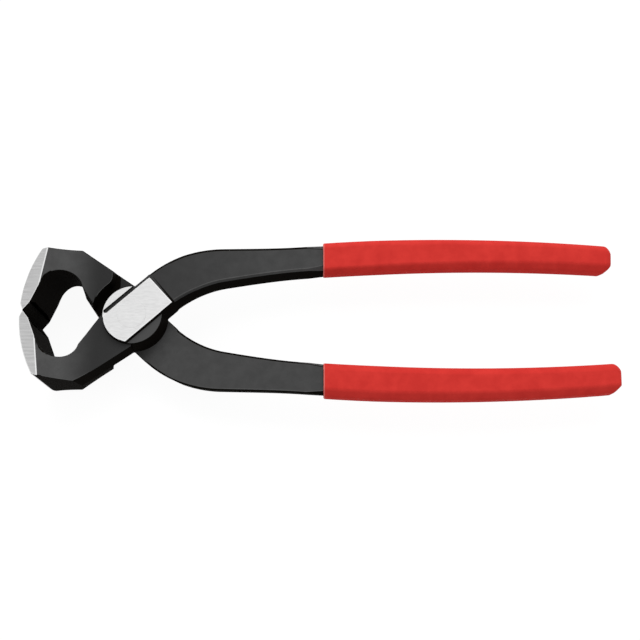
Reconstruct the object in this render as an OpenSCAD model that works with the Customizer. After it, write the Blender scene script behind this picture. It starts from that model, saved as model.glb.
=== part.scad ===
// End cutting nippers, 225 mm class: two identical forged halves, a flush rivet and two coated handles.
// One half is drawn with its lap plane at z = 0 and its show face up. The other is the same forging
// turned half a turn about the length of the tool. The whole tool then stands on its lower joint face.

/* [Joint] */
// Radius of the joint boss at the lap plane
boss_base_r = 12.6; // [12:0.1:13.6]
// Radius of the joint boss at its ground face
boss_face_r = 10.9; // [10.6:0.1:11.6]
// Height of one half at the joint, from the lap plane to the ground face
boss_h = 8.2; // [7.6:0.1:9.4]
// Gap between the two halves on the lap plane
lap_gap = 0.1; // [0.06:0.01:0.2]
// How far the black segment beside the ground band lies below it
segment_drop = 1.2; // [0.4:0.1:1.8]
// Width of the sloping step down to that segment
segment_slope = 0.6; // [0.2:0.1:1]
// Width of the groove along the other side of the ground band
groove_w = 1.5; // [0.8:0.1:1.6]
// Depth of that groove
groove_d = 0.8; // [0.4:0.1:1.2]
// Where the groove's round end lies, from the pivot back along the band
groove_back = 6.6; // [4:0.1:6.6]
// Radius of the round step that lets the other half's boss into the jaw's back
recess_r = 16.1; // [15.4:0.1:17]
// Radius of the round nose in which that step runs out
recess_nose_r = 4.1; // [3:0.1:5]
// Direction from the pivot to that nose
recess_nose_angle = 128.7; // [126:0.1:132]

/* [Rivet] */
// Radius of the rivet's shank
rivet_r = 4; // [3:0.1:4.5]
// Radius of the countersunk rivet heads at the ground faces
rivet_head_r = 5.4; // [5:0.1:6]
// Running clearance round the rivet
rivet_gap = 0.05; // [0.02:0.01:0.1]

/* [Jaws] */
// Reach of the ground front, from the pivot, at the middle of the jaw's width
jaw_reach = 41.4; // [39:0.1:44]
// Width of a jaw along its cutting edge
jaw_w = 27; // [24:0.5:30]
// Height of one jaw, from the closed cutting edge to its shoulder
jaw_h = 25.8; // [24:0.1:27.5]
// Slope at which the jaw's back falls from the shoulder to the front
back_slope = 4; // [2:0.5:7]
// Radius of the ground front in the plane of the handles
front_r = 49.3; // [44:0.1:56]
// Radius of the front's slight crown along the cutting edge
crown_r = 110; // [80:1:200]
// Radius of the front's outer corner
front_corner_r = 5; // [3:0.1:7]
// Gap between the closed cutting edges
edge_gap = 0.1; // [0.06:0.01:0.3]
// How far the cutting edge lies behind the ground front, which is rolled in to it
edge_setback = 1.1; // [0.6:0.1:1.6]
// Height over which the front is rolled in to the edge
edge_roll_h = 2.8; // [2:0.1:4]
// Width of the bevel behind the cutting edge
bevel_w = 4; // [3:0.1:5]
// Angle of that bevel from the line of the tool
bevel_angle = 52; // [45:1:60]
// How far the outer back runs from the pivot towards the front before the shoulder
shoulder_x = 18.6; // [17:0.1:20]
// Slope of the outer side from the shoulder down to the joint
shoulder_slope = 34.5; // [32:0.5:38]
// Radius of the round throat
throat_r = 7.1; // [6.5:0.1:7.8]
// Distance of the throat's centre in front of the pivot
throat_x = 26.6; // [25.5:0.1:27.5]
// Distance of the throat's centre from the closed cutting edge
throat_y = 9.7; // [8.5:0.1:10.5]
// Slope of the neck's inner side, from the throat down to the joint
neck_slope = 55.5; // [54:0.1:58]
// How far the parting ridge of the neck's inner side stands into the round of the throat
neck_ridge = 1.9; // [1.4:0.1:2.2]
// How far the parting ridge of the neck's outer side stands out past its edges
shoulder_ridge = 0.9; // [0.3:0.1:1.2]
// Draft of the neck's inner side, each way from its ridge
neck_draft = 12.5; // [6:0.5:15]
// Width of the trimmed land along both ridges
trim_w = 0.6; // [0.2:0.1:1]
// Thickness of the neck beside the joint
neck_t = 12; // [11:0.1:14]
// Radius of the flare from the neck out to the full jaw width
flare_r = 37; // [33:0.5:42]
// Distance in front of the pivot at which that flare starts
flare_x = 13; // [11:0.1:15]
// Turn of the flare, so that its end lies square to the jaw
flare_turn = 8.5; // [5:0.1:12]

/* [Handles] */
// Direction of the ground band and of a shank's root, from the line of the tool
band_angle = 42.4; // [41.5:0.1:43]
// Direction of a shank where its bend begins
shank_angle = 41; // [40:0.1:42]
// Straight length of a shank from the pivot to its bend
shank_straight = 15.3; // [15:0.1:17]
// Sideways offset from the pivot of the line in which the bend begins, towards a shank's outer side
shank_offset = 0.8; // [0.4:0.1:1]
// Length of the ground band from the pivot
band_len = 14.2; // [13:0.1:14.8]
// Width of a shank at the joint, on its back
root_w = 17.6; // [16:0.1:18]
// Width of a shank's show face at the joint, before the ground band is cut out of it
root_show_w = 14.6; // [14.5:0.1:14.8]
// Width of the ground band, which is centred on the pivot
band_w = 13.5; // [12.6:0.1:13.6]
// How far the ground band stands proud of the black shank behind it
band_step = 0.4; // [0.2:0.1:0.8]
// Radius of the bend that brings a shank into line
bend_r = 41.6; // [38:0.1:46]
// Direction of a handle where the bend ends
handle_angle = 6.8; // [6:0.1:9]
// Radius of the long bow of a handle
handle_r = 760; // [600:1:900]
// Length along a handle from the end of the bend to the mouth of the grip
bare_len = 38.9; // [30:0.1:45]
// Length in which a shank narrows from the bend on
waist_len = 56; // [40:1:60]
// Width of a handle's back at the mouth of the grip
mouth_w = 12.1; // [11.6:0.1:12.2]
// Width of the coated handle just behind the mouth
core_w = 11.2; // [11:0.1:11.6]
// Length of the coated handle before it begins to taper
taper_start = 20; // [12:1:50]
// Width of the coated handle at its end
end_w = 9.4; // [8.4:0.1:10.5]
// Thickness of a handle
handle_t = 8; // [7:0.1:9]
// Draft of a shank's sides in its bend, as the width lost from back to show face
bend_draft = 2; // [1.6:0.1:3]
// The same draft where the shank enters the grip
handle_draft = 2.4; // [1:0.1:3]
// Size of the broken edges beside the ground band
band_edge = 0.2; // [0.1:0.05:0.4]
// Size of the broken edges along a bare shank
shank_edge = 0.75; // [0.4:0.05:1]
// Size of the broken edges where a shank enters the grip
mouth_edge = 1.5; // [1.3:0.1:1.7]
// Size of the chamfers along the coated handle
core_chamfer = 1.9; // [1.2:0.1:2.4]
// Length in which the bare section turns into the coated one, each way from the mouth
blend_len = 6; // [4:0.5:10]

/* [Grips] */
// Length of a grip along its handle
grip_len = 112.1; // [95:0.1:125]
// Thickness of the plastic coat
coat_t = 0.9; // [0.7:0.05:1.4]
// Gap between the coat and the steel
coat_gap = 0.05; // [0.02:0.01:0.1]
// Thickness of the coat over the end of the handle
cap_t = 3.4; // [3:0.1:5]
// Chamfer round the end of a grip
cap_chamfer = 1.9; // [1:0.1:2.6]

/* [Hidden] */
$fn = 96;

steel = "#474747";
ground_steel = "#C4C4C4";
red_plastic = "#D23430";

// A length that clears the whole tool, for cutters
far = 4 * jaw_h;

// Number of sections along the bend, the bare handle behind it and the coated handle
bend_steps = 14;
bare_steps = 7;
coat_steps = 16;

// Centre of the ground front's arc, and the axis about which it is crowned
jaw_half = jaw_w / 2;
front_centre_x = front_r - jaw_reach;
crown_axis_x = crown_r - jaw_reach;

// How far the crown draws the front back at the jaw's sides, and a turn about its axis that clears them
crown_sag = crown_r - sqrt(pow(crown_r, 2) - pow(jaw_half, 2));
crown_turn = 4 * asin(jaw_half / crown_r);

// Depth of a rivet head, which is a cone of 45 degrees
sink = rivet_head_r - rivet_r;

// Lengths along a handle's centre line
bend_end = shank_straight + bend_r * (shank_angle - handle_angle) * PI / 180;
bend_mid = (shank_straight + bend_end) / 2;
mouth = bend_end + bare_len;
grip_end = mouth + grip_len;
core_end = grip_end - cap_t;

// Stations of a loft, from start to end in about equal steps
function steps(start, end, count) = [for (i = [0:count]) start + (end - start) * i / count];

// Share of the way from start to end, held between 0 and 1
function share(s, start, end) = min(1, max(0, (s - start) / (end - start)));

function mix(a, b, t) = a + (b - a) * t;

// The same share, easing in and out
function eased(t) = t * t * (3 - 2 * t);

// Direction of a handle's centre line at length s from the pivot
function heading(s) =
    s < shank_straight ? band_angle :
    s <= bend_end ? shank_angle - (s - shank_straight) / bend_r * 180 / PI :
    handle_angle - (s - bend_end) / handle_r * 180 / PI;

// Point at the end of an arc that turns right from angle a to angle b
function arc_step(a, b, r) = r * [sin(a) - sin(b), cos(b) - cos(a)];

shank_dir = [cos(shank_angle), sin(shank_angle)];
shank_start = shank_offset * [-sin(shank_angle), cos(shank_angle)];
straight_end_point = shank_start + shank_straight * shank_dir;
root_start = straight_end_point - shank_straight * [cos(band_angle), sin(band_angle)];
bend_end_point = straight_end_point + arc_step(shank_angle, handle_angle, bend_r);

// Centre line of a handle at length s from the pivot
function centre(s) =
    s <= shank_straight ? mix(root_start, straight_end_point, s / shank_straight) :
    s <= bend_end ? straight_end_point + arc_step(shank_angle, heading(s), bend_r) :
    bend_end_point + arc_step(handle_angle, heading(s), handle_r);

// How far a handle has sunk from the joint's half to the middle of the tool, from 0 to 1
function sunk(s) = sin(90 * share(s, band_len, mouth));

function back_z(s) = mix(lap_gap / 2, -handle_t / 2, sunk(s));
function show_z(s) = mix(boss_h - band_step * share(s, band_len, shank_straight), handle_t / 2, sunk(s));

function back_w(s) =
    s < mouth ? mix(root_w, mouth_w, eased(share(s, shank_straight, shank_straight + waist_len))) :
    s < mouth + blend_len ? mix(mouth_w, core_w, share(s, mouth, mouth + blend_len)) :
    mix(core_w, end_w, share(s, mouth + taper_start, grip_end));

function draft(s) =
    s < bend_mid ? mix(root_w - root_show_w, bend_draft, share(s, band_len, bend_mid)) :
    s < mouth ? mix(bend_draft, handle_draft, share(s, bend_mid, mouth)) :
    mix(handle_draft, 0, share(s, mouth, mouth + blend_len));

function edge(s) =
    s < shank_straight ? mix(band_edge, shank_edge, share(s, band_len, shank_straight)) :
    s < mouth ? mix(shank_edge, mouth_edge, share(s, mouth - blend_len, mouth)) :
    mix(mouth_edge, core_chamfer, share(s, mouth, mouth + blend_len));

// Section of a handle at length s: a drafted bar with broken edges, made larger all round by grow.
// Each point is [across, up], going round from the inner side of the back.
function section(s, grow) = let (
    low = back_z(s) - grow,
    high = show_z(s) + grow,
    wide = back_w(s) / 2 + grow,
    slope = draft(s) / 2 / (high - low),
    c = edge(s) + grow * (2 - sqrt(2)),
    top = wide - slope * (high - low),
    lower = wide - slope * c,
    upper = top + slope * c)
    [[-wide + c, low], [wide - c, low], [lower, low + c], [upper, high - c],
     [top - c, high], [-top + c, high], [-upper, high - c], [-lower, low + c]];

// The section of length s, placed at another length, either across the centre line or square to the tool
function ring(s, grow, at, square = false) = let (c = centre(at), a = square ? 0 : heading(at))
    [for (p = section(s, grow)) [c[0] - p[0] * sin(a), c[1] + p[0] * cos(a), p[1]]];

// Joins rings of eight points into one closed solid
module loft(rings) {
    n = len(rings[0]);
    last = len(rings) - 1;
    sides = [for (i = [0:last - 1], k = [0:n - 1], half = [0, 1]) let (
        a = i * n + k,
        b = i * n + (k + 1) % n)
        half == 0 ? [a, a + n, b] : [b, a + n, b + n]];
    start_cap = [[for (k = [0:n - 1]) k]];
    end_cap = [[for (k = [n - 1:-1:0]) last * n + k]];
    polyhedron([for (r = rings, p = r) p], concat(start_cap, sides, end_cap));
}

// Lengths at which the bare and the coated handle have their sections
bare = concat([0, band_len], steps(shank_straight, bend_end, bend_steps),
    steps(bend_end + blend_len, mouth - blend_len, bare_steps));
function coated(end) = concat([mouth], steps(mouth + blend_len, end, coat_steps));

// A handle with sections at the given lengths, made larger all round by grow
module handle_bar(stations, grow) {
    loft([for (s = stations) ring(s, grow, s)]);
}

// Outline of one jaw on the +Y side, at the ridges of its neck and before the throat is cut
module jaw_outline() {
    back_at_axis = jaw_h + shoulder_x * tan(back_slope);
    intersection() {
        union() {
            translate([-far, edge_gap / 2]) square([far, corner[1] - edge_gap / 2]);
            translate([corner_touch[0], 0]) square([-corner_touch[0], far]);
            translate(corner) circle(front_corner_r);
        }
        polygon([
            [-far, edge_gap / 2], [-far, back_at_axis - far * tan(back_slope)], [-shoulder_x, jaw_h],
            shoulder_foot, [0, edge_gap / 2]]);
    }
}

// A start of the outer ridge well in front of the shoulder, its end over the pivot, and its draft
shoulder_foot = [0, jaw_h - shoulder_x * tan(shoulder_slope)];
shoulder_start = shoulder_foot + far / 2 * [-cos(shoulder_slope), sin(shoulder_slope)];
shoulder_draft = atan2(shoulder_ridge, neck_t / 2);

// Centre of the front's outer corner: its circle touches the ground front's arc and the sloping back
corner_back = jaw_h + (shoulder_x + front_centre_x) * tan(back_slope) - front_corner_r / cos(back_slope);
corner_reach = sqrt(pow(front_r - front_corner_r, 2) - pow(corner_back * cos(back_slope), 2))
    + corner_back * sin(back_slope);
corner = [front_centre_x - corner_reach * cos(back_slope), corner_back - corner_reach * sin(back_slope)];
corner_touch = corner + front_corner_r * [-sin(back_slope), cos(back_slope)];

// The ground front: the arc in the plane of the handles, turned about a far axis to crown it
module front_envelope() {
    turned_about_crown()
        intersection() {
            translate([crown_axis_x - front_centre_x, 0]) circle(front_r);
            translate([0, -far]) square([far + crown_axis_x, 2 * far]);
        }
}

// Turns a profile of [distance from the crown's axis, height above the cutting edge] about that axis
module turned_about_crown() {
    translate([crown_axis_x, 0, 0])
        rotate([-90, 0, 0])
            rotate([0, 0, 180 - crown_turn / 2])
                rotate_extrude(angle = crown_turn) children();
}

// Side view of a jaw: full width at the ground front, flaring in to the neck
module jaw_side_view() {
    difference() {
        translate([-far, -jaw_half]) square([far + boss_base_r, jaw_w]);
        for (side = [1, -1]) {
            translate([-flare_x, side * (neck_t / 2 + flare_r)]) circle(flare_r);
            translate([-flare_x, side > 0 ? neck_t / 2 : -far - neck_t / 2]) square([far, far]);
        }
    }
}

// Open throat between the jaw and the joint, with the bevel behind the cutting edge
throat_c = [-throat_x, throat_y];
bevel_foot = [-jaw_reach + crown_sag + edge_setback, 0] + bevel_w * [cos(bevel_angle), sin(bevel_angle)];
foot_to_c = throat_c - bevel_foot;
foot_tangent = atan2(foot_to_c[1], foot_to_c[0]) + asin(throat_r / norm(foot_to_c));
front_touch = throat_c + throat_r * [cos(foot_tangent + 90), sin(foot_tangent + 90)];
neck_touch = throat_c + (throat_r - neck_ridge) * [sin(neck_slope), cos(neck_slope)];
neck_foot = [neck_touch[0] + neck_touch[1] / tan(neck_slope), 0];

module throat_outline() {
    polygon([[bevel_foot[0], 0], neck_foot, neck_touch, throat_c, front_touch, bevel_foot]);
    translate(throat_c) circle(throat_r);
}

// The bevel and the rolled front that leave the cutting edge, turned so that the edge follows the crown
module edge_cuts() {
    edge_r = crown_r - edge_setback;
    reach = bevel_w + 2 * crown_sag;
    turned_about_crown()
        polygon([[edge_r, 0], [edge_r - reach * cos(bevel_angle), reach * sin(bevel_angle)],
            [edge_r - reach * cos(bevel_angle), 0]]);
    turned_about_crown()
        polygon([[edge_r, 0], [crown_r + edge_setback, 0], [crown_r + edge_setback, edge_roll_h],
            [crown_r, edge_roll_h]]);
}

// Draft on one side of the neck: each half of its thickness leans in from the ridge that falls from start.
// The neck's outer side has out = 1, its inner side out = -1.
module neck_draft_cut(start, slope, draft, out) {
    for (side = [1, -1])
        translate(start)
            rotate([0, 0, -slope])
                translate([0, 0, side * trim_w / 2])
                    rotate([out * side * draft, 0, 0])
                        translate([0, out > 0 ? 0 : -throat_r, side > 0 ? 0 : -jaw_w])
                            cube([far, throat_r, jaw_w]);
}

// Plan of the space under a neck that the other half's boss turns in
module recess_outline() {
    nose = (recess_r + recess_nose_r) * [cos(recess_nose_angle), sin(recess_nose_angle)];
    difference() {
        union() {
            circle(recess_r);
            polygon([[0, 0], nose, nose + [recess_nose_r, 0], [nose[0] + recess_nose_r, far], [far, far]]);
        }
        translate(nose) circle(recess_nose_r);
    }
}

module jaw() {
    mirror([0, 1, 0])
        difference() {
            intersection() {
                translate([0, 0, -jaw_w]) linear_extrude(2 * jaw_w) jaw_outline();
                rotate([0, 0, -flare_turn])
                    rotate([90, 0, 0])
                        translate([0, 0, -far]) linear_extrude(2 * far) jaw_side_view();
                front_envelope();
            }
            translate([0, 0, -jaw_w]) linear_extrude(2 * jaw_w) throat_outline();
            edge_cuts();
            neck_draft_cut(neck_touch, neck_slope, neck_draft, -1);
            neck_draft_cut(shoulder_start, shoulder_slope, shoulder_draft, 1);
            translate([0, 0, -far]) linear_extrude(far + lap_gap / 2) recess_outline();
        }
}

module boss() {
    translate([0, 0, lap_gap / 2])
        cylinder(r1 = boss_base_r, r2 = boss_face_r, h = boss_h - lap_gap / 2);
}

// Cuts that shape the ground joint face beside the band
module joint_face_cuts() {
    rotate([0, 0, band_angle]) {
        translate([-boss_base_r, -band_w / 2, boss_h])
            rotate([90, 0, 90])
                linear_extrude(boss_base_r + band_len)
                    polygon([[segment_slope, segment_drop], [-segment_slope, -segment_drop],
                        [-boss_base_r, -segment_drop], [-boss_base_r, segment_drop]]);
        translate([-groove_back, band_w / 2, boss_h - groove_d])
            cube([groove_back + band_len, groove_w, boss_h]);
        translate([-groove_back, (band_w + groove_w) / 2, boss_h - groove_d])
            cylinder(d = groove_w, h = boss_h);
    }
}

module rivet_bore() {
    cone_gap = rivet_gap * sqrt(2);
    drop = cone_gap - rivet_gap;
    translate([0, 0, -far]) cylinder(r = rivet_r + rivet_gap, h = 2 * far);
    translate([0, 0, boss_h - sink - drop])
        cylinder(r1 = rivet_r + rivet_gap, r2 = rivet_head_r + cone_gap, h = sink + drop);
}

// One forged half, with its jaw at the lower left and its handle at the upper right
module forged_half() {
    difference() {
        union() {
            jaw();
            boss();
            handle_bar(concat(bare, coated(core_end)), 0);
        }
        joint_face_cuts();
        rivet_bore();
    }
}

// One dipped coat: a skin round the handle, closed and chamfered at its end. Its mouth is square to the tool,
// since both handles are dipped together.
module handle_coat() {
    full_end = grip_end - cap_chamfer;
    difference() {
        loft(concat(
            [for (s = coated(full_end)) ring(max(s, mouth + blend_len), coat_t, s, s == mouth)],
            [ring(grip_end, coat_t - cap_chamfer, grip_end)]));
        handle_bar(concat([mouth - blend_len], coated(core_end + coat_gap)), coat_gap);
    }
}

// Puts a half, or its coat, on the lower joint face
module as_top() {
    translate([0, 0, boss_h]) children();
}

module as_bottom() {
    translate([0, 0, boss_h]) rotate([180, 0, 0]) children();
}

module top_arm() {
    color(steel) as_top() forged_half();
}

module bottom_arm() {
    color(steel) as_bottom() forged_half();
}

module pivot_rivet() {
    color(ground_steel)
        rotate_extrude()
            polygon([[0, 0], [rivet_head_r, 0], [rivet_r, sink], [rivet_r, 2 * boss_h - sink],
                [rivet_head_r, 2 * boss_h], [0, 2 * boss_h]]);
}

module top_grip() {
    color(red_plastic) as_top() handle_coat();
}

module bottom_grip() {
    color(red_plastic) as_bottom() handle_coat();
}

top_arm();
bottom_arm();
pivot_rivet();
top_grip();
bottom_grip();
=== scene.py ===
"""End cutting nippers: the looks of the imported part, with its camera, floor and light."""

import logging
import math
from collections.abc import Callable
from dataclasses import dataclass
from enum import Enum

import bmesh
import bpy
from mathutils import Matrix, Vector


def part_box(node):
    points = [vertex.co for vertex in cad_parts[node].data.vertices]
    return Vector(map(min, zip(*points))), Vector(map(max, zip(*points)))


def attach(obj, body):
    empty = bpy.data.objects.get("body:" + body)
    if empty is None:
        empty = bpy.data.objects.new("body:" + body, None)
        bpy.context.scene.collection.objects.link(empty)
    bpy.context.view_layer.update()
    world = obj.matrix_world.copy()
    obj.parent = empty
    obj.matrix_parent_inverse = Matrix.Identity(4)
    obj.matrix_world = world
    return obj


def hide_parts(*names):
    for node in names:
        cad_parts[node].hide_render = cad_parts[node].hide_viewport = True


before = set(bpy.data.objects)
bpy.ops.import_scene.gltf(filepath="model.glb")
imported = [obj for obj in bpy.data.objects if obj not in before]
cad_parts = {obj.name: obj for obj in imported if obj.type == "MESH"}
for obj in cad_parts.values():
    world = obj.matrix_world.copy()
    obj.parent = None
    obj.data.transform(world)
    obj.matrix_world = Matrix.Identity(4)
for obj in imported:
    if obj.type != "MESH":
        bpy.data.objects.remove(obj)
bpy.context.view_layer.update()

log = logging.getLogger("nippers")
MM = 0.001
# Lengths in millimetres that differ by less than this count as equal.
SAME_LENGTH = 0.001
# Corners closer than this count as one place, in metres.
SAME_PLACE = 0.01 * MM
# A smaller face is a sliver that the CAD mesh or a bevel has left, in square metres.
SLIVER_AREA = 0.02 * MM ** 2


def srgb(code: str) -> tuple[float, float, float, float]:
    """Turns an sRGB hex colour into linear light.

    Args:
        code: six hex digits after a hash.

    Returns:
        Linear red, green and blue, and an alpha of 1.
    """
    steps = [int(code[i:i + 2], 16) / 255 for i in (1, 3, 5)]
    red, green, blue = [s / 12.92 if s <= 0.04045 else ((s + 0.055) / 1.055) ** 2.4 for s in steps]
    return (red, green, blue, 1.0)


def add_node(tree: bpy.types.NodeTree, kind: str, inputs: dict | None = None,
             **settings: str) -> bpy.types.Node:
    """Adds a node with its settings and links.

    Args:
        tree: the node tree it goes into.
        kind: Blender's name for the kind of node.
        inputs: for each input, by name or number, a socket to link or a plain value.
        settings: the node's own properties.

    Returns:
        The new node.
    """
    node = tree.nodes.new(kind)
    for key, value in settings.items():
        setattr(node, key, value)
    for key, value in (inputs or {}).items():
        if isinstance(value, bpy.types.NodeSocket):
            tree.links.new(value, node.inputs[key])
        else:
            node.inputs[key].default_value = value
    return node


def start_material(name: str) -> tuple[bpy.types.Material, bpy.types.NodeTree, bpy.types.NodeSocket]:
    """Adds a material with its shader, ready for a pattern.

    Args:
        name: the material's name.

    Returns:
        The material, its node tree and the socket with the place on the piece, in Object coordinates.
    """
    made = bpy.data.materials.new(name)
    made.use_nodes = True
    tree = made.node_tree
    return made, tree, add_node(tree, "ShaderNodeTexCoord").outputs["Object"]


def end_material(made: bpy.types.Material, pattern: dict[str, bpy.types.NodeSocket],
                 plain: dict[str, float]) -> bpy.types.Material:
    """Links a material's pattern to its shader and sets the shader's plain values.

    Args:
        made: the material.
        pattern: the socket for each patterned input of the shader.
        plain: the value of each plain input.

    Returns:
        The same material.
    """
    shader = made.node_tree.nodes["Principled BSDF"]
    for name, socket in pattern.items():
        made.node_tree.links.new(socket, shader.inputs[name])
    for name, value in plain.items():
        shader.inputs[name].default_value = value
    return made


class Pick(Enum):
    """What a selection in edit mode is made of."""

    VERTS = "VERT"
    EDGES = "EDGE"
    FACES = "FACE"


class Half(Enum):
    """The two forged halves. The bottom one is the top one turned over about the length of the tool."""

    TOP = "top"
    BOTTOM = "bottom"

    @property
    def arm(self) -> str:
        """The CAD node of this half's forging."""
        return f"{self.value}_arm"

    @property
    def grip(self) -> str:
        """The CAD node of this half's coat."""
        return f"{self.value}_grip"

    @property
    def body(self) -> str:
        """The body that this half's pieces ride on."""
        return f"{self.value}_half"

    def turned(self, direction: Vector) -> Vector:
        """A direction of the row frame, seen from this half lying with its joint plate up."""
        flip = 1 if self is Half.TOP else -1
        return Vector((direction.x, flip * direction.y, flip * direction.z))


def activate(piece: bpy.types.Object) -> None:
    """Makes one object the only selected one, and the active one.

    Args:
        piece: the object.
    """
    bpy.ops.object.select_all(action="DESELECT")
    piece.select_set(True)
    bpy.context.view_layer.objects.active = piece


def pick(piece: bpy.types.Object, kind: Pick, wanted: Callable[..., bool]) -> None:
    """Selects the parts of a mesh in edit mode that pass a test, and nothing else.

    Args:
        piece: the object that is in edit mode.
        kind: what is tested.
        wanted: the test, which is given a vertex, an edge or a face.
    """
    bpy.ops.mesh.select_mode(type=kind.value)
    bpy.ops.mesh.select_all(action="DESELECT")
    mesh = bmesh.from_edit_mesh(piece.data)
    mesh.normal_update()
    parts = {Pick.VERTS: mesh.verts, Pick.EDGES: mesh.edges, Pick.FACES: mesh.faces}[kind]
    for part in parts:
        part.select_set(bool(wanted(part)))
    mesh.select_flush_mode()
    bmesh.update_edit_mesh(piece.data)


def outer_corner(edge: bmesh.types.BMEdge, angle_deg: float) -> bool:
    """Tells whether an edge is an outer corner that turns by more than an angle."""
    return len(edge.link_faces) == 2 and edge.calc_face_angle_signed(0.0) > math.radians(angle_deg)


def copy_of_node(node: str, name: str, finishes: list[bpy.types.Material]) -> bpy.types.Object:
    """Copies a CAD node as a new object with a mesh of its own, its loose triangles merged.

    Args:
        node: the CAD node.
        name: the new piece's name.
        finishes: the new piece's materials, in the order of its slots.

    Returns:
        The new piece, in edit mode with all of it selected.
    """
    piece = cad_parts[node].copy()
    piece.data = piece.data.copy()
    for key in [k for k in piece.keys() if k.startswith("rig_")]:
        del piece[key]
    piece.name = piece.data.name = name
    piece.parent = None
    piece.matrix_world = Matrix.Identity(4)
    piece.data.materials.clear()
    bpy.context.scene.collection.objects.link(piece)
    activate(piece)
    bpy.ops.object.mode_set(mode="EDIT")
    bpy.ops.mesh.select_all(action="SELECT")
    bpy.ops.mesh.remove_doubles(threshold=SAME_LENGTH * MM)
    for finish in finishes:
        piece.data.materials.append(finish)
    return piece


def paint(piece: bpy.types.Object, slot: int) -> None:
    """Gives the faces that are selected in edit mode the material of one slot."""
    piece.active_material_index = slot
    bpy.ops.object.material_slot_assign()


def smooth(piece: bpy.types.Object, angle_deg: float) -> None:
    """Shades a piece smooth up to an angle, with large flat faces kept flat.

    Args:
        piece: the active object.
        angle_deg: edges sharper than this stay sharp.
    """
    bpy.ops.object.shade_smooth_by_angle(angle=math.radians(angle_deg))
    bpy.ops.object.modifier_add(type="WEIGHTED_NORMAL")
    weighted = piece.modifiers[-1]
    weighted.keep_sharp = True
    bpy.ops.object.modifier_apply(modifier=weighted.name)


@dataclass(frozen=True)
class PhosphatedForging:
    """Forged tool steel, blasted and black phosphated: an even satin grey with a faint cloudy mottle.

    The phosphate is a thin layer of fine crystals, so the face shines little and has no mirror image. Towards
    the joint the face is painted darker as painted shade, and on the jaws it is painted lighter as painted
    light.
    """

    name: str
    light: str = "#484848"
    dark: str = "#424242"
    jaw_light: str = "#535353"
    jaw_dark: str = "#4C4C4C"
    # Painted shade: towards the joint the face is painted this darker tone.
    joint_shade: str = "#2D2D2D"
    cloud_mm: float = 4.0
    # Real crystals are about 0.02 mm across; at that size they don't show, so they are drawn coarser.
    grain_mm: float = 0.35
    bump_mm: float = 0.03
    jaw_fade_mm: tuple[float, float] = (-12.0, -27.0)
    shank_fade_mm: tuple[float, float] = (12.0, 42.0)

    def material(self) -> bpy.types.Material:
        """Builds the material.

        Returns:
            The new material.
        """
        made, tree, place = start_material(self.name)
        cloud = add_node(tree, "ShaderNodeTexNoise",
                         {"Vector": place, "Scale": 1 / (self.cloud_mm * MM), "Detail": 3.0,
                          "Roughness": 0.6}).outputs["Fac"]
        grain = add_node(tree, "ShaderNodeTexNoise",
                         {"Vector": place, "Scale": 1 / (self.grain_mm * MM), "Detail": 2.0}).outputs["Fac"]
        tone = add_node(tree, "ShaderNodeMapRange",
                        {"Value": cloud, "From Min": 0.35, "From Max": 0.65}).outputs["Result"]
        shank, jaw = [add_node(tree, "ShaderNodeMix", {"Factor": tone, "A": srgb(dark), "B": srgb(light)},
                               data_type="RGBA").outputs["Result"]
                      for dark, light in ((self.dark, self.light), (self.jaw_dark, self.jaw_light))]
        # Painted light and shade by place along the tool: lighter on the jaw, darker towards the joint.
        along = add_node(tree, "ShaderNodeSeparateXYZ", {"Vector": place}).outputs["X"]
        to_jaw, to_shank = [add_node(tree, "ShaderNodeMapRange",
                                     {"Value": along, "From Min": start * MM, "From Max": end * MM},
                                     interpolation_type="SMOOTHSTEP").outputs["Result"]
                            for start, end in (self.jaw_fade_mm, self.shank_fade_mm)]
        front = add_node(tree, "ShaderNodeMix", {"Factor": to_jaw, "A": srgb(self.joint_shade), "B": jaw},
                         data_type="RGBA").outputs["Result"]
        colour = add_node(tree, "ShaderNodeMix", {"Factor": to_shank, "A": front, "B": shank},
                          data_type="RGBA").outputs["Result"]
        rough = add_node(tree, "ShaderNodeMapRange", {"Value": grain, "To Min": 0.5, "To Max": 0.68})
        bump = add_node(tree, "ShaderNodeBump",
                        {"Strength": 0.25, "Distance": self.bump_mm * MM, "Height": grain})
        return end_material(made, {"Base Color": colour, "Roughness": rough.outputs["Result"],
                                   "Normal": bump.outputs["Normal"]}, {"Specular IOR Level": 0.1})


@dataclass(frozen=True)
class PaintedShade:
    """Near black paint for a forging's shaded faces: painted shade on its sides, walls and recess, matt and a
    little uneven.
    """

    name: str
    light: str = "#14110E"
    dark: str = "#0A0908"
    lump_mm: float = 1.6
    bump_mm: float = 0.06

    def material(self) -> bpy.types.Material:
        """Builds the material.

        Returns:
            The new material.
        """
        made, tree, place = start_material(self.name)
        lumps = add_node(tree, "ShaderNodeTexNoise",
                         {"Vector": place, "Scale": 1 / (self.lump_mm * MM), "Detail": 4.0,
                          "Roughness": 0.6}).outputs["Fac"]
        colour = add_node(tree, "ShaderNodeMix",
                          {"Factor": lumps, "A": srgb(self.dark), "B": srgb(self.light)},
                          data_type="RGBA").outputs["Result"]
        rough = add_node(tree, "ShaderNodeMapRange", {"Value": lumps, "To Min": 0.7, "To Max": 0.85})
        bump = add_node(tree, "ShaderNodeBump",
                        {"Strength": 0.3, "Distance": self.bump_mm * MM, "Height": lumps})
        return end_material(made, {"Base Color": colour, "Roughness": rough.outputs["Result"],
                                   "Normal": bump.outputs["Normal"]}, {"Specular IOR Level": 0.01})


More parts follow.
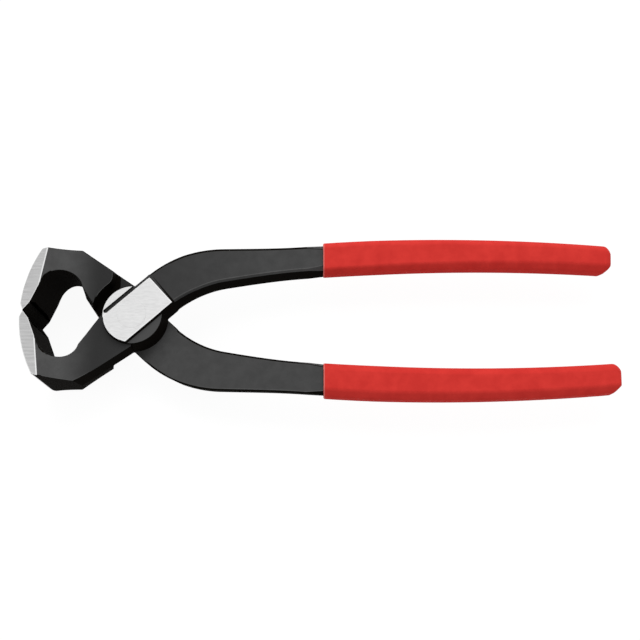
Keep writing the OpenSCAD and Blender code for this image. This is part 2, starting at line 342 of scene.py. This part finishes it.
@dataclass(frozen=True)
class GroundSteel:
    """Bare tool steel, surface ground: bright, with fine straight wheel marks in one direction."""

    name: str
    light: str
    dark: str
    turn_deg: float
    # Real wheel marks are about 0.05 mm apart, too fine to show, so they are drawn coarser.
    mark_mm: float = 0.45
    mark_len_mm: float = 9.0
    bump_mm: float = 0.02
    rough: float = 0.38
    rough_spread: float = 0.06

    def material(self) -> bpy.types.Material:
        """Builds the material.

        Returns:
            The new material.
        """
        made, tree, place = start_material(self.name)
        turned = add_node(tree, "ShaderNodeMapping",
                          {"Vector": place, "Rotation": (0.0, 0.0, math.radians(-self.turn_deg))})
        across = 1 / (self.mark_mm * MM)
        pulled = add_node(tree, "ShaderNodeMapping",
                          {"Vector": turned.outputs["Vector"],
                           "Scale": (1 / (self.mark_len_mm * MM), across, across)})
        marks = add_node(tree, "ShaderNodeTexNoise",
                         {"Vector": pulled.outputs["Vector"], "Scale": 1.0, "Detail": 3.0,
                          "Roughness": 0.6}).outputs["Fac"]
        tone = add_node(tree, "ShaderNodeMapRange",
                        {"Value": marks, "From Min": 0.3, "From Max": 0.7}).outputs["Result"]
        colour = add_node(tree, "ShaderNodeMix",
                          {"Factor": tone, "A": srgb(self.dark), "B": srgb(self.light)},
                          data_type="RGBA").outputs["Result"]
        rough = add_node(tree, "ShaderNodeMapRange",
                         {"Value": marks, "To Min": self.rough - self.rough_spread,
                          "To Max": self.rough + self.rough_spread})
        bump = add_node(tree, "ShaderNodeBump",
                        {"Strength": 0.12, "Distance": self.bump_mm * MM, "Height": marks})
        return end_material(made, {"Base Color": colour, "Roughness": rough.outputs["Result"],
                                   "Normal": bump.outputs["Normal"]}, {"Metallic": 1.0})


@dataclass(frozen=True)
class DippedVinyl:
    """Soft PVC, dipped on hot and cured: satin red, with faint clouds and a skin that ripples slightly."""

    name: str
    light: str = "#D73B35"
    dark: str = "#CC3530"
    cloud_mm: float = 5.0
    ripple_mm: float = 1.4
    bump_mm: float = 0.08

    def material(self) -> bpy.types.Material:
        """Builds the material.

        Returns:
            The new material.
        """
        made, tree, place = start_material(self.name)
        cloud = add_node(tree, "ShaderNodeTexNoise",
                         {"Vector": place, "Scale": 1 / (self.cloud_mm * MM), "Detail": 4.0,
                          "Roughness": 0.6}).outputs["Fac"]
        ripple = add_node(tree, "ShaderNodeTexNoise",
                          {"Vector": place, "Scale": 1 / (self.ripple_mm * MM), "Detail": 2.0}).outputs["Fac"]
        tone = add_node(tree, "ShaderNodeMapRange",
                        {"Value": cloud, "From Min": 0.35, "From Max": 0.65}).outputs["Result"]
        colour = add_node(tree, "ShaderNodeMix",
                          {"Factor": tone, "A": srgb(self.dark), "B": srgb(self.light)},
                          data_type="RGBA").outputs["Result"]
        rough = add_node(tree, "ShaderNodeMapRange", {"Value": ripple, "To Min": 0.48, "To Max": 0.6})
        bump = add_node(tree, "ShaderNodeBump",
                        {"Strength": 0.2, "Distance": self.bump_mm * MM, "Height": ripple})
        return end_material(made, {"Base Color": colour, "Roughness": rough.outputs["Result"],
                                   "Normal": bump.outputs["Normal"]},
                            {"IOR": 1.53, "Specular IOR Level": 0.01})


class SteelFinish(Enum):
    """The finishes on a forged half, in the order of its material slots."""

    FACE = 0
    # Painted shade: a near black, shaded copy of the phosphate for faces that turn away from the top and for
    # the recess.
    SCALE = 1
    PLATE = 2
    GROUND = 3
    EDGE = 4
    RIM = 5
    # Marks the broken edges; on the lower side and round the recess they are painted lighter as a painted
    # highlight.
    EDGE_HIGHLIGHT = 6
    PLAIN = 7


class CoatFinish(Enum):
    """The finishes on a coat, in the order of its material slots."""

    COAT = 0
    LIP_HIGHLIGHT = 1


@dataclass(frozen=True)
class Rise:
    """Heights of a face's unit normal that tell a forging's faces apart: 1 lies flat, 0 stands upright."""

    wall: float = 0.5
    side: float = 0.7
    neck: float = 0.75
    edge_highlight: float = 0.8
    edge: float = 0.86
    face: float = 0.9
    shank: float = 0.97
    level: float = 0.99
    ground: float = 0.999
    chamfer: tuple[float, float] = (0.6, 0.85)


@dataclass
class ForgedHalf:
    """One forged half: its edges are broken, and each of its faces gets a finish, painted highlight and
    painted shade among them.

    Lengths are in millimetres, seen from the half lying with its joint plate up, with the lap plane at
    height zero. A value that ends in near is how far off a face or corner may lie and still count.
    """

    half: Half
    rise: Rise = Rise()
    # The height of the lap plane in the row frame, which alone isn't seen from the half.
    lap: float = 8.2
    # The joint: the lap, the ground plate with its band, the lower segment beside the band, and the bore.
    lap_near: float = 1.0
    lap_face_near: float = 0.5
    shade_end_x: float = -6.6
    plate_h: float = 8.2
    plate_near: float = 0.02
    band_angle_deg: float = 42.4
    band_half: float = 6.75
    rim_w: float = 0.35
    segment_h: float = 7.0
    segment_near: float = 0.05
    boss_r: float = 12.6
    bore_r: float = 6.2
    bore_near: float = 0.15
    bore_fill: float = 0.9
    rivet_head_r: float = 5.4
    rivet_gap: float = 0.05
    # The recess under the neck, and the broken edge round it.
    recess_r: float = 16.1
    recess_near: float = 0.1
    recess_h: float = -5.5
    recess_edge_h: float = -5.0
    recess_edge_w: float = 4.5
    recess_edge_x: float = -17.0
    # The jaw: its ground sides and front, its throat and its cutting edge.
    jaw_half: float = 13.5
    jaw_near: float = 0.02
    jaw_root_x: float = -13.0
    neck_x: float = -8.0
    border_x: float = -20.0
    border_w: float = 0.5
    throat_x: tuple[float, float] = (-34.0, -14.0)
    throat_y: float = 18.0
    front_x: float = -30.0
    front_out: tuple[float, float] = (-0.4, 0.8)
    cutting_x: float = -36.0
    cutting_near: float = 0.3
    edge_close: float = 0.051
    # The low step in the jaw's front, where its crown runs out.
    step_x: float = -36.69
    step_y: float = -19.87
    step_near: float = 0.03
    # The shank: where it is bare, where its chamfers widen, and the core's end inside the coat.
    bare_x: tuple[float, float] = (12.0, 76.0)
    wide_from: float = 64.0
    core_end: float = 179.5
    core_cut: float = 2.5
    # How the mesh is cleaned, broken and shaded.
    flat_deg: float = 0.3
    merge: float = 0.2
    sharp_deg: float = 30.0
    edge_break: float = 0.25
    throat_round: float = 0.5
    ridge_break: float = 0.2
    short_edge: float = 0.5
    smooth_deg: float = 25.0

    def seen(self, point: Vector) -> Vector:
        """A point of the row frame, given in metres, seen from this half in millimetres."""
        return self.half.turned(point / MM - Vector((0, 0, self.lap)))

    def ends(self, edge: bmesh.types.BMEdge) -> list[Vector]:
        """The two ends of an edge, seen from this half."""
        return [self.seen(v.co) for v in edge.verts]

    def band_across(self) -> Vector:
        """The direction across the ground band, seen from this half."""
        turn = math.radians(self.band_angle_deg)
        return Vector((-math.sin(turn), math.cos(turn), 0))

    def cutting_edge(self, points: list[Vector]) -> bool:
        """Tells whether all the given points lie on the cutting edge."""
        return all(p.x < self.cutting_x and abs(p.y) < self.cutting_near for p in points)

    def throat_corner(self, edge: bmesh.types.BMEdge) -> bool:
        """Tells whether an edge is the corner between the jaw's side and its throat.

        Args:
            edge: the edge.

        Returns:
            True on such a corner.
        """
        first, last = self.throat_x
        if not outer_corner(edge, self.sharp_deg):
            return False
        if any(not first < p.x < last or abs(p.y) > self.throat_y for p in self.ends(edge)):
            return False
        low, high = sorted(abs(face.normal.z) for face in edge.link_faces)
        return low < self.rise.wall and high > self.rise.side

    def jaw_corner(self, edge: bmesh.types.BMEdge) -> bool:
        """Tells whether an edge is a corner of the jaw or of its recess, but not a cutting edge.

        Args:
            edge: the edge.

        Returns:
            True on such a corner.
        """
        if not outer_corner(edge, self.sharp_deg):
            return False
        if any(face.calc_area() < SLIVER_AREA for face in edge.link_faces):
            return False
        ends = self.ends(edge)
        recess_from = self.recess_r - self.recess_near
        in_jaw = all(p.x < self.jaw_root_x for p in ends)
        on_recess = all(p.z < self.recess_h and p.x < self.shade_end_x and p.xy.length > recess_from for p in ends)
        return (in_jaw or on_recess) and not self.cutting_edge(ends) and not self.throat_corner(edge)

    def on_step(self, vert: bmesh.types.BMVert) -> bool:
        """Tells whether a vertex is on the low step in the jaw's front."""
        at = self.seen(vert.co)
        return abs(at.y - self.step_y) < self.step_near and at.x < self.step_x

    def shank_ridge(self, edge: bmesh.types.BMEdge) -> bool:
        """Tells whether an edge is the ridge between a bare shank's face and its chamfer.

        Args:
            edge: the edge.

        Returns:
            True on such a ridge.
        """
        first, last = self.bare_x
        if len(edge.link_faces) != 2 or any(not first < p.x < last for p in self.ends(edge)):
            return False
        low, high = sorted(abs(face.normal.z) for face in edge.link_faces)
        return high > self.rise.shank and self.rise.chamfer[0] < low < self.rise.chamfer[1]

    def on_plate(self, face: bmesh.types.BMFace) -> bool:
        """Tells whether a face is part of the ground joint plate."""
        off = abs(self.seen(face.calc_center_median()).z - self.plate_h)
        return self.half.turned(face.normal).z > self.rise.level and off < self.plate_near

    def on_band(self, face: bmesh.types.BMFace) -> bool:
        """Tells whether a face is the ground band of the plate, and not the piece beyond its groove."""
        at = self.seen(face.calc_center_median())
        return self.on_plate(face) and at.dot(self.band_across()) < self.band_half

    def on_bore(self, vert: bmesh.types.BMVert) -> bool:
        """Tells whether a vertex is on the rim of the rivet's hole in the plate.

        Args:
            vert: the vertex.

        Returns:
            True on that rim.
        """
        at = self.seen(vert.co)
        on_rim = abs(at.xy.length - self.rivet_head_r) < self.bore_near
        return abs(at.z - self.plate_h) < self.plate_near and on_rim

    def broken_finish(self, at: Vector, out: Vector) -> SteelFinish:
        """Picks the finish of a broken edge.

        It is bright round the jaw's ground sides, painted lighter as a highlight on the lower side and round
        the recess, else painted near black as shade.

        Args:
            at: the middle of the face, seen from this half.
            out: its normal, seen from this half.

        Returns:
            The finish.
        """
        flat = abs(out.z)
        if at.x < self.border_x and abs(at.z) > self.jaw_half - self.border_w and flat > self.rise.side:
            return SteelFinish.EDGE if flat > self.rise.edge else SteelFinish.FACE
        on_recess = (at.z < self.recess_edge_h and at.xy.length < self.recess_r + self.recess_edge_w
                     and at.x > self.recess_edge_x)
        lower = out.y * math.copysign(1.0, out.z) < 0
        return SteelFinish.EDGE_HIGHLIGHT if flat > self.rise.edge_highlight and (lower or on_recess) else SteelFinish.SCALE

    def lit_chamfer(self, at: Vector, out: Vector) -> bool:
        """Tells whether a chamfer of the shank takes the tone of the face beside it, as in the photo.

        Args:
            at: the middle of the face, seen from this half.
            out: its normal, seen from this half.

        Returns:
            True on a chamfer that shows the tone of the face.
        """
        # The chamfers picked here are painted in the face's lit tone instead of the painted shade.
        if abs(out.z) < self.rise.wall:
            return False
        if self.half is Half.TOP and out.y < 0:
            return at.x > self.bare_x[0]
        return at.x > self.wide_from and (self.half is Half.TOP or out.y < 0)

    def finish_of(self, face: bpy.types.MeshPolygon) -> SteelFinish:
        """Picks the finish of a face by how it was made, where it is and which way it looks.

        Args:
            face: the face, with the slot that it was given while it was made.

        Returns:
            The finish.
        """
        at = self.seen(face.center)
        out = self.half.turned(face.normal)
        made = SteelFinish(face.material_index)
        if at.x < self.front_x and out.x < self.front_out[0] and out.y < self.front_out[1]:
            return SteelFinish.GROUND
        if made is SteelFinish.EDGE_HIGHLIGHT:
            return self.broken_finish(at, out)
        if at.xy.length < self.bore_r and (made is SteelFinish.RIM or abs(out.z) < self.rise.face):
            return SteelFinish.PLATE
        if made is not SteelFinish.FACE:
            return made
        if abs(out.z) > self.rise.ground and abs(at.z) > self.jaw_half - self.jaw_near:
            return SteelFinish.GROUND
        # On the lap face under the recess, the part before the split is painted near black as painted shade;
        # beyond it the face's tone shows.
        if abs(at.z) < self.lap_near and out.z < -self.rise.neck:
            return SteelFinish.SCALE if at.x < self.shade_end_x else SteelFinish.FACE
        on_segment = abs(at.z - self.segment_h) < self.segment_near and at.xy.length < self.boss_r
        if out.z > self.rise.level and on_segment:
            return SteelFinish.PLAIN
        if self.lit_chamfer(at, out):
            return SteelFinish.FACE
        least = self.rise.neck if at.x < self.neck_x else self.rise.face
        # Faces that turn away from the top get the near black of painted shade.
        return SteelFinish.FACE if abs(out.z) > least else SteelFinish.SCALE

    def clean(self, piece: bpy.types.Object) -> None:
        """Joins the flat triangles, parts the lap face where its painted shade ends and eases the jaw's step.

        Args:
            piece: the forging, in edit mode with all of it selected.
        """
        bpy.ops.mesh.dissolve_limited(angle_limit=math.radians(self.flat_deg))
        pick(piece, Pick.VERTS, lambda vert: vert.co.x < self.jaw_root_x * MM)
        bpy.ops.mesh.remove_doubles(threshold=self.merge * MM)
        pick(piece, Pick.FACES, lambda face: abs(face.normal.z) > self.rise.level
             and abs(face.calc_center_median().z - self.lap * MM) < self.lap_face_near * MM)
        bpy.ops.mesh.bisect(plane_co=(self.shade_end_x * MM, 0, 0), plane_no=(1, 0, 0))
        pick(piece, Pick.VERTS, self.on_step)
        bpy.ops.transform.resize(value=(0, 1, 1), center_override=(self.step_x * MM, 0, 0))
        bpy.ops.mesh.select_all(action="SELECT")
        bpy.ops.mesh.dissolve_degenerate(threshold=SAME_PLACE)

    def break_edges(self, piece: bpy.types.Object) -> None:
        """Breaks the corners of the jaw and its recess, of the throat and of the shank.

        Args:
            piece: the forging, in edit mode.
        """
        pick(piece, Pick.EDGES, self.jaw_corner)
        bpy.ops.mesh.bevel(offset=self.edge_break * MM, segments=2, affect="EDGES", clamp_overlap=False,
                           material=SteelFinish.EDGE_HIGHLIGHT.value)
        pick(piece, Pick.EDGES, self.throat_corner)
        bpy.ops.mesh.bevel(offset=self.throat_round * MM, segments=3, affect="EDGES", clamp_overlap=False)
        # Where bevels meet, a vertex can overshoot the jaw's side: it goes back into that plane.
        pick(piece, Pick.VERTS, lambda vert: self.seen(vert.co).z > self.jaw_half + SAME_LENGTH)
        side = self.half.turned(Vector((0, 0, self.jaw_half))).z + self.lap
        bpy.ops.transform.resize(value=(1, 1, 0), center_override=(0, 0, side * MM))
        pick(piece, Pick.EDGES, self.shank_ridge)
        bpy.ops.mesh.bevel(offset=self.ridge_break * MM, segments=1, affect="EDGES", clamp_overlap=False,
                           material=SteelFinish.EDGE_HIGHLIGHT.value)

    def fit_neighbours(self, piece: bpy.types.Object) -> None:
        """Draws the bore in to the rivet's head, and the core's end back inside its coat.

        Args:
            piece: the forging, in edit mode.
        """
        pick(piece, Pick.VERTS, self.on_bore)
        tight = self.rivet_head_r / (self.rivet_head_r + self.bore_fill * self.rivet_gap)
        bpy.ops.transform.resize(value=(tight, tight, 1), center_override=(0, 0, 0))
        pick(piece, Pick.VERTS, lambda vert: vert.co.x > self.core_end * MM)
        bpy.ops.transform.translate(value=(-self.core_cut * MM, 0, 0))

    def grind(self, piece: bpy.types.Object) -> None:
        """Gives the joint plate its ground band with a bright rim, and closes the cutting edge.

        Args:
            piece: the forging, in edit mode.
        """
        pick(piece, Pick.FACES, self.on_plate)
        paint(piece, SteelFinish.PLATE.value)
        across = self.half.turned(self.band_across())
        bpy.ops.mesh.bisect(plane_co=across * self.band_half * MM, plane_no=across)
        pick(piece, Pick.FACES, self.on_band)
        paint(piece, SteelFinish.RIM.value)
        bpy.ops.mesh.inset(thickness=self.rim_w * MM)
        paint(piece, SteelFinish.PLATE.value)
        pick(piece, Pick.VERTS, lambda vert: self.cutting_edge([self.seen(vert.co)]))
        bpy.ops.transform.translate(value=self.half.turned(Vector((0, self.edge_close * MM, 0))))

    def dress(self, piece: bpy.types.Object) -> None:
        """Gives each face its finish and shades the forging.

        Args:
            piece: the forging, in edit mode. It is left in object mode.
        """
        # A bevel that runs out on a broad face would tilt its normals there and draw a dark line across it.
        pick(piece, Pick.EDGES, lambda edge: edge.calc_length() < self.short_edge * MM
             and min(face.calc_area() for face in edge.link_faces) < SLIVER_AREA)
        bpy.ops.mesh.mark_sharp()
        bpy.ops.object.mode_set(mode="OBJECT")
        for face in piece.data.polygons:
            face.material_index = self.finish_of(face).value
        smooth(piece, self.smooth_deg)

    def build(self, finishes: list[bpy.types.Material]) -> bpy.types.Object:
        """Breaks the edges of a copy of the forging and dresses it.

        Args:
            finishes: the materials, in the order of SteelFinish.

        Returns:
            The new piece.
        """
        piece = copy_of_node(self.half.arm, f"{self.half.value}_forging", finishes)
        self.clean(piece)
        self.break_edges(piece)
        self.fit_neighbours(piece)
        self.grind(piece)
        self.dress(piece)
        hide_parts(self.half.arm)
        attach(piece, self.half.body)
        return piece


@dataclass
class DippedGrip:
    """The coat on one handle: soft edges, a lip painted pale as a highlight, and an end whose near corner is
    trimmed at a slant.

    Lengths are in millimetres, in the row frame.
    """

    half: Half
    # The end: a slanting trim, and one nearly square to the handle.
    trim_at: tuple[float, float, float]
    trim_slope: tuple[float, float]
    square_at: tuple[float, float]
    square_slope: float = 0.095
    trim_near: float = 0.002
    trim_deg: float = 15.0
    trim_round: float = 0.3
    # The hollow's end, and how far it is drawn back.
    end_in: float = 3.4
    end_near: tuple[float, float] = (-0.7, 0.5)
    end_back: float = 2.5
    # The long edges, and the mouth with its lip.
    edge_deg: float = 25.0
    edge_round: float = 0.9
    mouth_near: float = 0.3
    mouth_edge: float = 1.5
    mouth_out: float = -0.9
    lip: float = 0.5
    # The ridge between the upper face and the near chamfer, told apart by their normals.
    ridge_out: float = 0.0
    ridge_len: float = 93.0
    upper_rise: float = 0.95
    chamfer_rise: tuple[float, float] = (0.3, 0.9)
    chamfer_out: float = -0.4
    # How the mesh is joined and shaded.
    quad_deg: tuple[float, float] = (20.0, 60.0)
    smooth_deg: float = 30.0

    def mouth_rim(self, edge: bmesh.types.BMEdge, low: Vector, middle: Vector) -> bool:
        """Tells whether an edge is the outer rim of the coat's mouth.

        Args:
            edge: the edge.
            low: the lowest corner of the coat's box.
            middle: the middle of the mouth.

        Returns:
            True on the outer rim.
        """
        if len(edge.link_faces) != 2 or any(v.co.x > low.x + self.mouth_near * MM for v in edge.verts):
            return False
        away = (edge.verts[0].co + edge.verts[1].co) / 2 - middle
        along = [face.normal.x for face in edge.link_faces]
        wall = edge.link_faces[along.index(max(along))]
        return min(along) < self.mouth_out < max(along) and wall.normal.dot(away) > 0

    def near_ridge(self, vert: bmesh.types.BMVert) -> bool:
        """Tells whether a vertex is on the ridge between the coat's upper face and its near chamfer.

        Args:
            vert: the vertex.

        Returns:
            True on that ridge.
        """
        least, most = self.chamfer_rise
        normals = [face.normal for face in vert.link_faces]
        on_chamfer = any(n.y < self.chamfer_out and least < n.z < most for n in normals)
        return on_chamfer and any(n.z > self.upper_rise for n in normals)

    def ease_ridge(self, piece: bpy.types.Object) -> None:
        """Moves the near ridge outwards, most at the mouth, where the photo shows a narrower chamfer.

        Args:
            piece: the coat, in edit mode.
        """
        pick(piece, Pick.VERTS, self.near_ridge)
        bpy.ops.mesh.hide(unselected=True)
        first = min(v.co.x for v in bmesh.from_edit_mesh(piece.data).verts if not v.hide)
        pick(piece, Pick.VERTS, lambda vert: not vert.hide and vert.co.x < first + SAME_PLACE)
        bpy.ops.transform.translate(value=(0, -self.ridge_out * MM, 0), use_proportional_edit=True,
                                    proportional_edit_falloff="LINEAR", proportional_size=self.ridge_len * MM)
        bpy.ops.mesh.reveal(select=False)

    def draw_hollow(self, piece: bpy.types.Object, high: Vector) -> None:
        """Draws the hollow in the coat back from its end, so that the end can be trimmed.

        Args:
            piece: the coat, in edit mode.
            high: the highest corner of the coat's box.
        """
        least, most = self.end_near
        pick(piece, Pick.VERTS, lambda vert: least < (vert.co.x - high.x) / MM + self.end_in < most)
        bpy.ops.transform.translate(value=(-self.end_back * MM, 0, 0))

    def round_edges(self, piece: bpy.types.Object, low: Vector) -> None:
        """Rounds the coat's long edges and gives its mouth a lip, painted pale as a highlight.

        Args:
            piece: the coat, in edit mode.
            low: the lowest corner of the coat's box.
        """
        pick(piece, Pick.EDGES, lambda edge: outer_corner(edge, self.edge_deg)
             and any(v.co.x > low.x + self.mouth_edge * MM for v in edge.verts))
        bpy.ops.mesh.bevel(offset=self.edge_round * MM, segments=3, affect="EDGES", clamp_overlap=True)
        mouth = [vert.co.copy() for vert in bmesh.from_edit_mesh(piece.data).verts
                 if vert.co.x < low.x + self.mouth_near * MM]
        middle = sum(mouth, Vector()) / len(mouth)
        pick(piece, Pick.EDGES, lambda edge: self.mouth_rim(edge, low, middle))
        # The lip's faces are painted a pale red as a painted highlight.
        bpy.ops.mesh.bevel(offset=self.lip * MM, segments=2, affect="EDGES", clamp_overlap=False,
                           material=CoatFinish.LIP_HIGHLIGHT.value)

    def trim(self, piece: bpy.types.Object, at: Vector, out: Vector) -> None:
        """Trims the coat along a plane and breaks the new edge.

        Args:
            piece: the coat, in edit mode.
            at: a point of the plane, in millimetres.
            out: the side that goes.
        """
        out = out.normalized()
        bpy.ops.mesh.select_all(action="SELECT")
        bpy.ops.mesh.bisect(plane_co=at * MM, plane_no=out, use_fill=True, clear_outer=True)
        pick(piece, Pick.EDGES, lambda edge: outer_corner(edge, self.trim_deg)
             and all(abs((vert.co / MM - at).dot(out)) < self.trim_near for vert in edge.verts))
        bpy.ops.mesh.bevel(offset=self.trim_round * MM, segments=2, affect="EDGES", clamp_overlap=False)

    def build(self, vinyl: list[bpy.types.Material]) -> bpy.types.Object:
        """Softens the edges of a copy of the coat and dresses it.

        Args:
            vinyl: the materials, in the order of CoatFinish.

        Returns:
            The new piece.
        """
        low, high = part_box(self.half.grip)
        piece = copy_of_node(self.half.grip, f"{self.half.value}_coat", vinyl)
        face_turn, shape_turn = [math.radians(angle) for angle in self.quad_deg]
        bpy.ops.mesh.tris_convert_to_quads(face_threshold=face_turn, shape_threshold=shape_turn)
        self.draw_hollow(piece, high)
        if self.ridge_out:
            self.ease_ridge(piece)
        self.round_edges(piece, low)
        self.trim(piece, Vector((*self.square_at, 0)), Vector((1, -self.square_slope, 0)))
        self.trim(piece, Vector(self.trim_at), Vector((1, -self.trim_slope[0], -self.trim_slope[1])))
        bpy.ops.object.mode_set(mode="OBJECT")
        smooth(piece, self.smooth_deg)
        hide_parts(self.half.grip)
        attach(piece, self.half.body)
        return piece


@dataclass
class PivotRivet:
    """The rivet, whose heads are ground flush with the joint plates."""

    node: str = "pivot_rivet"

    def dress(self, steel: bpy.types.Material) -> bpy.types.Object:
        """Gives the rivet its finish.

        Args:
            steel: the material.

        Returns:
            The rivet's own CAD node.
        """
        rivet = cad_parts[self.node]
        rivet.data.materials.clear()
        rivet.data.materials.append(steel)
        return rivet


@dataclass
class Studio:
    """Camera, pale floor and plain soft light, in metres, apart from the lens and sensor in millimetres."""

    middle: tuple[float, float, float] = (0.07, 0.0, 0.0)
    eye: tuple[float, float, float] = (70.886 * MM, -103.363 * MM, 349.083 * MM)
    tilt_deg: float = 16.855
    roll_deg: float = -0.093
    lens: float = 52.12
    sensor: float = 36.0
    clip: float = 0.01
    floor_z: float = -5.35 * MM
    floor_size: float = 6.0
    floor_pale: str = "#D4D4D4"
    floor_thin: tuple[float, float, float, float] = (0.12, 0.12, 0.12, 1.0)
    floor_glow: float = 0.93
    fill: float = 0.59
    fill_colour: tuple[float, float, float, float] = (1.0, 1.0, 1.0, 1.0)
    key_watts: float = 15.6
    key_size: float = 1.2
    key_at: tuple[float, float, float] = (0.05, 1.1, 1.1)

    def shown(self, tree: bpy.types.NodeTree) -> bpy.types.NodeSocket:
        """Adds nodes that are 1 where the camera, a reflection or clear material sees the surface.

        Args:
            tree: the node tree they go into.

        Returns:
            The socket with the result.
        """
        path = add_node(tree, "ShaderNodeLightPath")
        seen = add_node(tree, "ShaderNodeMath", {0: path.outputs["Is Camera Ray"],
                                                 1: path.outputs["Is Glossy Ray"]}, operation="MAXIMUM")
        return add_node(tree, "ShaderNodeMath", {0: seen.outputs[0], 1: path.outputs["Is Transmission Ray"]},
                        operation="MAXIMUM").outputs[0]

    def camera(self) -> None:
        """Adds the camera at the photograph's viewing angle."""
        camera = bpy.data.objects.new("camera", bpy.data.cameras.new("camera"))
        camera.data.lens = self.lens
        camera.data.sensor_width = self.sensor
        camera.data.clip_start = self.clip
        camera.matrix_world = (Matrix.Translation(self.eye)
                               @ Matrix.Rotation(math.radians(self.tilt_deg), 4, "X")
                               @ Matrix.Rotation(math.radians(self.roll_deg), 4, "Z"))
        bpy.context.scene.collection.objects.link(camera)
        bpy.context.scene.camera = camera

    def floor(self) -> None:
        """Adds the pale floor, which shows white with the object's faint shadow on it."""
        bpy.ops.object.select_all(action="DESELECT")
        bpy.ops.mesh.primitive_plane_add(size=self.floor_size, location=(*self.middle[:2], self.floor_z))
        floor = bpy.context.object
        floor.name = "floor"
        made = bpy.data.materials.new("white_paper_floor")
        made.use_nodes = True
        tree = made.node_tree
        tree.nodes.clear()
        pale = add_node(tree, "ShaderNodeBsdfDiffuse", {"Color": srgb(self.floor_pale)})
        thin = add_node(tree, "ShaderNodeBsdfDiffuse", {"Color": self.floor_thin})
        glow = add_node(tree, "ShaderNodeEmission", {"Strength": self.floor_glow})
        white = add_node(tree, "ShaderNodeAddShader", {0: thin.outputs[0], 1: glow.outputs[0]})
        both = add_node(tree, "ShaderNodeMixShader",
                        {0: self.shown(tree), 1: pale.outputs[0], 2: white.outputs[0]})
        add_node(tree, "ShaderNodeOutputMaterial", {"Surface": both.outputs[0]})
        floor.data.materials.append(made)

    def light(self) -> None:
        """Adds the soft fill from all round and one broad lamp above and behind the tool."""
        world = bpy.data.worlds.new("studio")
        bpy.context.scene.world = world
        world.use_nodes = True
        tree = world.node_tree
        tree.nodes.clear()
        level = add_node(tree, "ShaderNodeMapRange",
                         {"Value": self.shown(tree), "To Min": self.fill, "To Max": 1.0})
        back = add_node(tree, "ShaderNodeBackground", {"Color": self.fill_colour,
                                                       "Strength": level.outputs["Result"]})
        add_node(tree, "ShaderNodeOutputWorld", {"Surface": back.outputs[0]})
        lamp = bpy.data.lights.new("broad_key", "AREA")
        lamp.energy = self.key_watts
        lamp.size = self.key_size
        key = bpy.data.objects.new("broad_key", lamp)
        key.location = self.key_at
        beam = Vector(self.middle) - Vector(self.key_at)
        key.rotation_euler = beam.to_track_quat("-Z", "Y").to_euler()
        key.visible_glossy = False
        bpy.context.scene.collection.objects.link(key)

    def build(self) -> None:
        """Sets the stage."""
        bpy.context.scene.view_settings.view_transform = "Standard"
        self.camera()
        self.floor()
        self.light()


def main() -> None:
    """Builds the pieces in order and reports each one."""
    logging.basicConfig(level=logging.INFO, format="%(name)s: %(message)s")
    # Painted shade: near black for the forging's faces that turn away from the top, its walls and its recess.
    shade_black = PaintedShade("forged_steel_painted_shade").material()
    plate = GroundSteel("tool_steel_ground_plate", light="#E8E8E8", dark="#DADADA", turn_deg=0.0,
                        mark_len_mm=2.5).material()
    ground = GroundSteel("tool_steel_ground_jaw", light="#CACACA", dark="#B2B2B2", turn_deg=0.0,
                         mark_mm=0.7, mark_len_mm=12.0).material()
    edge = GroundSteel("tool_steel_burnished_edge", light="#EDEDED", dark="#DEDEDE", turn_deg=90.0,
                       rough=0.26).material()
    rim = GroundSteel("tool_steel_burnished_rim", light="#F6F6F6", dark="#ECECEC", turn_deg=41.0,
                      rough=0.3).material()
    # Painted highlight: a lighter grey for the lower broken edges and the rim of the recess.
    edge_highlight = PhosphatedForging("forged_steel_painted_edge_highlight", light="#585858", dark="#505050",
                             jaw_light="#626262", jaw_dark="#5A5A5A", joint_shade="#4A4A4A").material()
    plain = PhosphatedForging("forged_steel_phosphated_boss", joint_shade="#4B4B4B").material()
    vinyl = [DippedVinyl("vinyl_dipped_red").material(),
             # Painted highlight: a paler red for the rounded lip at the mouth.
             DippedVinyl("vinyl_dipped_red_lip_highlight", light="#E27A73", dark="#D86C65").material()]
    # On the top half, the painted shade towards the joint runs further along the shank.
    faces = {Half.TOP: PhosphatedForging("forged_steel_phosphated_top",
                                         shank_fade_mm=(-30.0, 70.0)).material(),
             Half.BOTTOM: PhosphatedForging("forged_steel_phosphated_bottom",
                                            shank_fade_mm=(0.0, 8.0)).material()}
    coats = {Half.TOP: DippedGrip(Half.TOP, trim_at=(184.0, 20.4, 12.0), trim_slope=(1.05, 0.36),
                                  square_at=(184.3, 19.8), ridge_out=1.2),
             Half.BOTTOM: DippedGrip(Half.BOTTOM, trim_at=(183.3, -26.8, 12.0), trim_slope=(0.95, 0.15),
                                     square_at=(183.75, -19.8))}
    for half in Half:
        arm = ForgedHalf(half).build([faces[half], shade_black, plate, ground, edge, rim, edge_highlight, plain])
        log.info("%s: %d faces", arm.name, len(arm.data.polygons))
        coat = coats[half].build(vinyl)
        log.info("%s: %d faces", coat.name, len(coat.data.polygons))
    rivet = PivotRivet().dress(plate)
    log.info("%s: %d faces", rivet.name, len(rivet.data.polygons))
    Studio().build()


if __name__ == "__main__":
    main()
